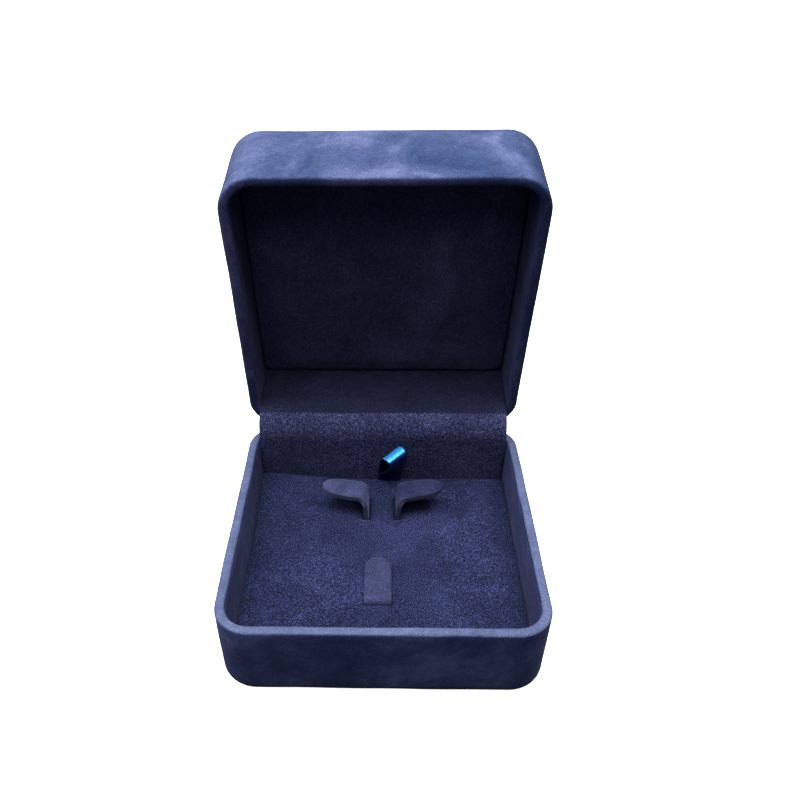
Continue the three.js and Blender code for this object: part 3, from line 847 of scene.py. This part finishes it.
def build_lid_pad():
    """The pad in the lid, which stands out a little from the lid's lining."""
    bounds = (LID_PAD_LOW[0], LID_PAD_HIGH[0], LID_PAD_LOW[1], LID_PAD_HIGH[1])
    corners = (PAD_FRONT_CORNER, LID_PAD_REAR_CORNER)
    lines_x, lines_y = pad_grid(bounds, 1.2)
    soft_height = puffed(9.2, bounds)

    def height(x, y):
        return soft_height(x, y) + LID_PAD_RISE

    thickness = LID_PAD_HIGH[2] - LID_PAD_LOW[2]
    points, faces = pillow(bounds, corners, thickness, LID_PAD_SOFT, height, lines_x, lines_y)
    x, y, z = points.T
    free = (edge_distance(x, y, bounds, corners) > LID_PAD_HOLD) & (z > -SWELL_DEPTH)
    points = swell(points, faces, free)
    points = np.c_[-points[:, 0], points[:, 1], LID_PAD_LOW[2] - points[:, 2]]
    replaced = ["lid_pad_cover", "lid_pad_foam"]
    # the lid's pad gets the lighter suede, which paints in light
    piece = make_piece(
        "lid_pad_suede", points, faces, "lid", replaced, [lid_lining_suede_lit], opened=True
    )


build_pad()
build_lid_pad()


# ---- Sheets of even thickness ----------------------------

def strip_normals(path):
    """Normals, in the plane of the path, of a path given as (a, b) places."""
    along = np.gradient(path, axis=0)
    along /= np.linalg.norm(along, axis=1)[:, None]
    return np.c_[-along[:, 1], along[:, 0]]


def edge_shape(width, thickness, steps=4):
    """Round edge of a sheet as (across, off) pairs, from the upper face round to the lower one."""
    radius = thickness / 2
    angles = np.radians(np.linspace(90, -90, steps + 1))
    return [(width / 2 - radius + radius * math.cos(a), radius * math.sin(a)) for a in angles]


BRIDGE_Y = (BRIDGE_LOW[1] + BRIDGE_HIGH[1]) / 2
BRIDGE_RADIUS = HINGE_AT[1] - BRIDGE_Y
BRIDGE_THICK = BRIDGE_HIGH[1] - BRIDGE_LOW[1]
SHADE_TURN = 0.87  # share of the lid's swing at which the strip's darker suede begins
SHADE_BACK = 0.8  # how far behind that place it also begins
SHADE_ABOVE = 3  # least height above the hinge


def bridge_path():
    """Middle of the hinge cover strip in Y and Z: up behind the pad, round the hinge, into the lid."""
    y, radius = BRIDGE_Y, BRIDGE_RADIUS
    step = 0.6
    low = [(y, z) for z in np.arange(BRIDGE_LOW[2], HINGE_AT[2], step)]
    fold = [
        (HINGE_AT[1] - radius * math.cos(a), HINGE_AT[2] + radius * math.sin(a))
        for a in np.linspace(0, LID_OPEN, int(radius * LID_OPEN / step))
    ]
    high = [(y, z) for z in np.arange(HINGE_AT[2] + step, BRIDGE_TOP, step)]
    high = swing(np.c_[np.zeros(len(high)), high], LID_OPEN)[:, 1:]
    return np.vstack([low, fold, high])


def bridge_section():
    """Section of the strip as (x, off) places, where off is measured from its middle."""
    half = BRIDGE_HIGH[0]
    edge = edge_shape(2 * half, BRIDGE_THICK)
    inner = half - BRIDGE_THICK / 2
    xs = np.linspace(-inner, inner, 66)[1:-1]
    section = [(x, BRIDGE_THICK / 2) for x in xs] + edge
    return section + [(x, -BRIDGE_THICK / 2) for x in xs[::-1]] + [(-x, off) for x, off in edge[::-1]]


def bridge_mesh(path):
    """Carries the section along the path."""
    section = bridge_section()
    count = len(section)
    points = []
    for place, normal in zip(path, strip_normals(path)):
        for x, off in section:
            y, z = place + normal * off
            points.append((x, y, z))
    faces = tube_faces(len(path), count)
    faces.append(tuple(range(count)))
    faces.append(tuple((len(path) - 1) * count + i for i in range(count)))
    return waver(np.array(points), amount=0.08, scale=0.15, seed=5.5), faces


def build_bridge():
    """Suede strip that covers the hinge. It spans base and lid, and is darker inside the lid."""
    path = bridge_path()
    points, faces = bridge_mesh(path)
    replaced = ["bridge_lower", "bridge_fold", "bridge_upper"]
    piece = make_piece(
        "hinge_strip", points, faces, None, replaced, [strip_suede, inner_strip_suede]
    )
    change = swing([(0, BRIDGE_Y, HINGE_AT[2])], LID_OPEN * SHADE_TURN)[0]
    for polygon in piece.data.polygons:
        y, z = polygon.center.y / MM, polygon.center.z / MM
        beyond = z > change[2] or y > change[1] + SHADE_BACK
        polygon.material_index = 1 if beyond and z > HINGE_AT[2] + SHADE_ABOVE else 0
    foot = (0, HINGE_AT[1] - BRIDGE_RADIUS, HINGE_AT[2])
    end = Vector(swing([foot], LID_OPEN)[0]) * MM
    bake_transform(piece)


build_bridge()


# ---- Flaps, ring tab and ribbon --------------------------

NAP = 0.3  # thickness of the suede on each face of a card piece

FLAP_CARD = 1.1  # thickness over all
FLAP_RISE = math.radians(8.5)  # slope of the wing, up to its tip
FLAP_BEND = 1.9  # radius of the bend
FLAP_LEAN = 0.4  # how far the stem leans out below the bend
FLAP_LEVEL = 6.1  # top of the bend, above the flap's foot
FLAP_BEND_SPAN = (4.2, 7.6)  # about where the bend lies along the flap
FLAP_DROOP = 0.3  # how far the tip hangs below the slope
FLAP_DROOP_FROM = 9
FLAP_ROUND = 4.6  # length of the rounded tip
FLAP_ROUND_POWER = 2.3
FLAP_TAPER = (0.15, 0.12)  # shares of the width lost over the bend and along the wing
FLAP_REARWARD = 0.5  # shift to the rear over the bend, and again along the wing

TAB_CARD = 0.9  # thickness over all
TAB_BEND = 0.9  # radius of the bend
TAB_SHIFT = 0.35  # how far the root lies behind its solid, and the tip short of it
TAB_LIFT = 0.6  # how high the tip is lifted
TAB_LIFT_FROM = 1.5

RIBBON_HALF = 3.0
RIBBON_THICK = 0.28
RIBBON_OPENING = 1.85  # radius of the loop
RIBBON_APART = 0.26  # half the gap between the tails
RIBBON_AT_X = 1.8
RIBBON_INSET = 0.6  # from the pad's rear edge to the tails
RIBBON_TWIST = math.radians(44)
RIBBON_MOVE = (1.2, -2.5)  # how far it moves in X and in Y as it rises
RIBBON_SLOPE = 0.17  # rise across the width of the loop


def layered_sheet(path, normals, across, half_widths, layers, steps=12):
    """Sheet along a path, with a width of its own at each place, built up of layers.

    path, normals and across are 3-D; layers are distances from the middle, upper face first. Returns
    points, faces and, for each face, the number of its layer: 0 is the upper face, the last one the
    lower face, and those between are the bands of the edge.
    """
    shares = np.linspace(-1, 1, steps + 1)
    rows, columns = len(path), len(shares)
    points = []
    for off in layers:
        for place, normal, side, half in zip(path, normals, across, half_widths):
            points += [place + normal * off + side * (half * share) for share in shares]
    size = rows * columns
    faces, bands = [], []
    for layer, band in ((0, 0), (len(layers) - 1, len(layers))):
        for r in range(rows - 1):
            for c in range(columns - 1):
                a = layer * size + r * columns + c
                faces.append((a, a + 1, a + columns + 1, a + columns))
                bands.append(band)
    edge = grid_edge(rows, columns)
    for layer in range(len(layers) - 1):
        for i, a in enumerate(edge):
            b = edge[(i + 1) % len(edge)]
            upper, lower = layer * size, (layer + 1) * size
            faces.append((upper + a, upper + b, lower + b, lower + a))
            bands.append(layer + 1)
    return np.array(points), faces, bands


def round_end(lengths, half_width, round_length, power=2.0):
    """Half widths along a strip whose end is round over its last round_length."""
    into = np.clip((lengths - (lengths[-1] - round_length)) / round_length, 0, 1)
    widths = half_width * (1 - into**power) ** (1 / power)
    return np.maximum(widths, 0.04 * half_width)


def bent_path(root, bend_radius, bend_centre, rise, reach, step=0.5):
    """Path in two directions: up from the root, round a bend, then out to the given reach."""
    ups = np.arange(root[1], bend_centre[1], step)
    lean = (bend_centre[0] - bend_radius - root[0]) / (bend_centre[1] - root[1])
    stem = np.c_[root[0] + lean * (ups - root[1]), ups]
    turns = np.linspace(math.pi, math.pi / 2 + rise, 9)
    bend = bend_centre + bend_radius * np.c_[np.cos(turns), np.sin(turns)]
    length = (reach - bend[-1, 0]) / math.cos(rise)
    ease = np.sin(np.linspace(0, math.pi / 2, int(length / step) + 8))[1:]
    wing = bend[-1] + length * ease[:, None] * np.array([math.cos(rise), math.sin(rise)])
    return np.vstack([stem, bend, wing])


def path_lengths(path):
    """Length along a path at each of its places."""
    return np.r_[0, np.cumsum(np.linalg.norm(np.diff(path, axis=0), axis=1))]


def build_card_piece(name, points, faces, bands, body, replaced, suede_material):
    """Card covered with suede on both faces, with the cut edge of the card showing."""
    piece = make_piece(name, points, faces, body, [replaced], [suede_material, card_material])
    for polygon, band in zip(piece.data.polygons, bands):
        polygon.material_index = 1 if band == 2 else 0
        polygon.use_smooth = band in (0, 4)


def card_layers(thickness):
    """Layers of a card piece: suede, card and suede."""
    outer = thickness / 2
    return outer, outer - NAP, NAP - outer, -outer


def build_flap(side, body, suede_material):
    """Upright flap that bends outward; side is -1 for the left one."""
    name = "flap_right" if side > 0 else "flap_left"
    front, back = FLAP_LOW[1], FLAP_HIGH[1]
    root_x = FLAP_LOW[0] + FLAP_CARD / 2
    centre = np.array([root_x + FLAP_LEAN + FLAP_BEND, FLAP_LOW[2] + FLAP_LEVEL - FLAP_BEND])
    path = bent_path((root_x, FLAP_LOW[2]), FLAP_BEND, centre, FLAP_RISE, FLAP_HIGH[0])
    lengths = path_lengths(path)
    out = smooth_share(lengths, *FLAP_BEND_SPAN)
    tip = smooth_share(lengths, FLAP_BEND_SPAN[1], lengths[-1])
    path[:, 1] -= FLAP_DROOP * smooth_share(lengths, FLAP_DROOP_FROM, lengths[-1])
    normals = strip_normals(path)
    halves = round_end(lengths, (back - front) / 2, FLAP_ROUND, FLAP_ROUND_POWER)
    halves = halves * (1 - FLAP_TAPER[0] * out - FLAP_TAPER[1] * tip)
    middle = (front + back) / 2 + FLAP_REARWARD * out + FLAP_REARWARD * tip
    path3 = np.c_[side * path[:, 0], middle, path[:, 1]]
    normals3 = np.c_[side * normals[:, 0], np.zeros(len(path)), normals[:, 1]]
    across = np.tile([0.0, 1.0, 0.0], (len(path), 1))
    points, faces, bands = layered_sheet(path3, normals3, across, halves, card_layers(FLAP_CARD))
    points = waver(points, amount=0.08, scale=0.25, seed=3.3 + side)
    build_card_piece("suede_" + name, points, faces, bands, body, name, suede_material)


def build_tab():
    """Tab that holds the ring: up out of its slit, then back, with a round tip."""
    root_y = TAB_LOW[1] + TAB_CARD / 2 + TAB_SHIFT
    level = TAB_HIGH[2] - TAB_CARD / 2
    centre = np.array([root_y + TAB_BEND, level - TAB_BEND])
    path = bent_path((root_y, TAB_LOW[2]), TAB_BEND, centre, 0.0, TAB_HIGH[1] - TAB_SHIFT)
    lengths = path_lengths(path)
    path[:, 1] += TAB_LIFT * smooth_share(lengths, TAB_LIFT_FROM, lengths[-1])
    normals = strip_normals(path)
    half = (TAB_HIGH[0] - TAB_LOW[0]) / 2
    halves = round_end(lengths, half, half)
    middle = (TAB_HIGH[0] + TAB_LOW[0]) / 2
    count = len(path)
    path3 = np.c_[np.full(count, middle), path]
    normals3 = np.c_[np.zeros(count), normals]
    across = np.tile([1.0, 0.0, 0.0], (count, 1))
    points, faces, bands = layered_sheet(path3, normals3, across, halves, card_layers(TAB_CARD))
    build_card_piece("suede_ring_tab", points, faces, bands, "tab", "ring_tab", tab_suede)


def ribbon_path():
    """Path of the folded ribbon in its own plane: up, over in a loop, and down again."""
    opening = RIBBON_OPENING
    eye = RIBBON_HIGH[2] - opening - RIBBON_THICK / 2
    heights = np.arange(RIBBON_LOW[2] + 0.1, eye, 0.4)
    spread = RIBBON_APART + (opening - RIBBON_APART) * smooth_share(heights, PAD_HIGH[2] + 0.3, eye)
    turns = np.linspace(0, math.pi, 15)[1:-1]
    back = np.c_[spread, heights]
    over = np.c_[opening * np.cos(turns), eye + opening * np.sin(turns)]
    return np.vstack([back, over, back[::-1] * [-1, 1]])


def build_ribbon():
    """Folded ribbon at the pad's rear edge. Its loop leans forward and twists as it rises."""
    path = ribbon_path()
    normals = -strip_normals(path)
    share = smooth_share(path[:, 1], PAD_HIGH[2], RIBBON_HIGH[2])
    angle = RIBBON_TWIST * share
    cos, sin = np.cos(angle), np.sin(angle)
    x = -path[:, 0] * sin + RIBBON_AT_X + RIBBON_MOVE[0] * share
    y = path[:, 0] * cos + PAD_HIGH[1] - RIBBON_INSET + RIBBON_MOVE[1] * share
    path3 = np.c_[x, y, path[:, 1]]
    normals3 = np.c_[-normals[:, 0] * sin, normals[:, 0] * cos, normals[:, 1]]
    across = np.c_[cos, sin, RIBBON_SLOPE * share]
    halves = np.full(len(path), RIBBON_HALF)
    layers = (RIBBON_THICK / 2, -RIBBON_THICK / 2)
    points, faces, _ = layered_sheet(path3, normals3, across, halves, layers, 16)
    make_piece("ribbon_pull", points, faces, "pad", ["ribbon_loop"], [ribbon_material])


# the right flap gets the darker copy of the suede: painted shade
build_flap(1, "right_flap", right_flap_suede_shaded)
build_flap(-1, "left_flap", left_flap_suede)
build_tab()
build_ribbon()


# ---- CAD pieces that stay --------------------------------

SPACER_GAP = 0.1
SPACER_EDGE = 0.4


def build_spacer(node, body, opened=False):
    """Foam block with soft cut edges, a little inside the box of its node."""
    low, high = shut_box_mm(node) if opened else box_mm(node)
    low, high = low + SPACER_GAP, high - SPACER_GAP
    work = bmesh.new()
    bmesh.ops.create_cube(work, size=1)
    bmesh.ops.scale(work, vec=high - low, verts=work.verts)
    bmesh.ops.translate(work, vec=(high + low) / 2, verts=work.verts)
    bmesh.ops.bevel(
        work, geom=work.edges[:], offset=SPACER_EDGE, segments=3, profile=0.5, affect="EDGES"
    )
    work.verts.index_update()
    points = np.array([vertex.co for vertex in work.verts])
    faces = [[vertex.index for vertex in face.verts] for face in work.faces]
    work.free()
    make_piece("foam_" + node, points, faces, body, [node], [foam_material], opened)


build_spacer("spacer_lower", "base")
build_spacer("spacer_upper", "lid", opened=True)

KEPT = {
    board_material: ["base_shell", "lid_shell"],
    card_material: ["pad_board", "lid_pad_board"],
    steel_material: [
        "hinge_leaf_lower", "hinge_leaf_upper", "hinge_pin", "snap_spring_left", "snap_spring_right",
        "rivet_lower_left", "rivet_lower_right", "rivet_upper_left", "rivet_upper_right",
    ],
}
for material, names in KEPT.items():
    for name in names:
        for entry in frame["nodes"][name].material_slots:
            entry.link = "OBJECT"
            entry.material = material


# ---- Floor, light and camera -----------------------------

FLOOR_RADIUS = 2.0
FLOOR_BEND = 0.8
WALL_HEIGHT = 3.5
SENSOR = 36
LENS = 34.12
SHIFT = (0.0469, 0.0862)
CAMERA_AT = (-0.00073, -0.12998, 0.14156)
CAMERA_PITCH = math.radians(39.57)  # down from the horizontal
CAMERA_YAW = math.radians(1.68)
CAMERA_ROLL = math.radians(0.79)


def build_backdrop():
    """Pale studio floor that curves up into a wall all round."""
    flat, bend = FLOOR_RADIUS, FLOOR_BEND
    angles = np.linspace(0, math.pi / 2, 12)
    rounds = [(flat + bend * math.sin(a), bend - bend * math.cos(a)) for a in angles]
    profile = [(0.2, 0.0), (1.0, 0.0), *rounds, (flat + bend, WALL_HEIGHT)]
    steps = 64
    turns = np.linspace(0, 2 * math.pi, steps, endpoint=False)
    points = [(r * math.cos(t), r * math.sin(t), z) for r, z in profile for t in turns]
    faces = [tuple(range(steps)), *tube_faces(len(profile), steps)]
    mesh = bpy.data.meshes.new("backdrop")
    mesh.from_pydata(points, [], faces)
    backdrop = add_object("backdrop", mesh)
    material, nodes, links, shader = new_material("backdrop", (0.9, 0.9, 0.9))
    at = nodes.new("ShaderNodeTexCoord").outputs["Object"]
    tone = noise_node(nodes, links, at, 3, 1.0)
    pale = ramp(nodes, links, tone, [(0.0, (0.86, 0.86, 0.87)), (1.0, (0.9, 0.9, 0.9))])
    links.new(pale, shader.inputs["Base Color"])
    set_inputs(shader, {"Roughness": 0.9, "Emission Color": (1, 1, 1, 1), "Emission Strength": 0.93})
    mesh.materials.append(material)
    backdrop.visible_diffuse = False
    backdrop.visible_glossy = False
    backdrop.visible_shadow = False


def area_light(name, at, towards, size, power):
    """White rectangular light that faces the given place."""
    data = bpy.data.lights.new(name, "AREA")
    data.shape = "RECTANGLE"
    data.size, data.size_y = size
    data.energy = power
    light = add_object(name, data)
    light.location = at
    light.rotation_euler = (Vector(towards) - Vector(at)).to_track_quat("-Z", "Y").to_euler()


def build_light():
    """Wide light overhead, two weak ones to fill in, and a little blue-white from all round."""
    world = bpy.data.worlds.new("studio")
    world.use_nodes = True
    background = world.node_tree.nodes["Background"]
    set_inputs(background, {"Color": (0.9, 0.93, 1, 1), "Strength": 0.1})
    bpy.context.scene.world = world
    area_light("overhead", (0, -0.06, 0.8), towards=(0, 0, 0.02), size=(1.0, 0.5), power=19.5)
    area_light("front_fill", (0, -0.36, 0.5), towards=(0, 0, 0.04), size=(0.4, 0.2), power=0.75)
    area_light("side_fill", (-0.52, -0.02, 0.3), towards=(0, -0.02, 0.02), size=(0.3, 0.3), power=1.8)


def build_camera():
    """Camera just in front of the box, looking down into it."""
    data = bpy.data.cameras.new("camera")
    data.sensor_width = SENSOR
    data.lens = LENS
    data.shift_x, data.shift_y = SHIFT
    data.clip_start = 0.005
    camera = add_object("camera", data)
    turn = Matrix.Rotation(CAMERA_YAW, 4, "Z") @ Matrix.Rotation(math.pi / 2 - CAMERA_PITCH, 4, "X")
    turn = turn @ Matrix.Rotation(-CAMERA_ROLL, 4, "Z")
    camera.matrix_world = Matrix.Translation(CAMERA_AT) @ turn
    bpy.context.scene.camera = camera


build_backdrop()
build_light()
build_camera()

bpy.context.scene.view_settings.view_transform = "Standard"
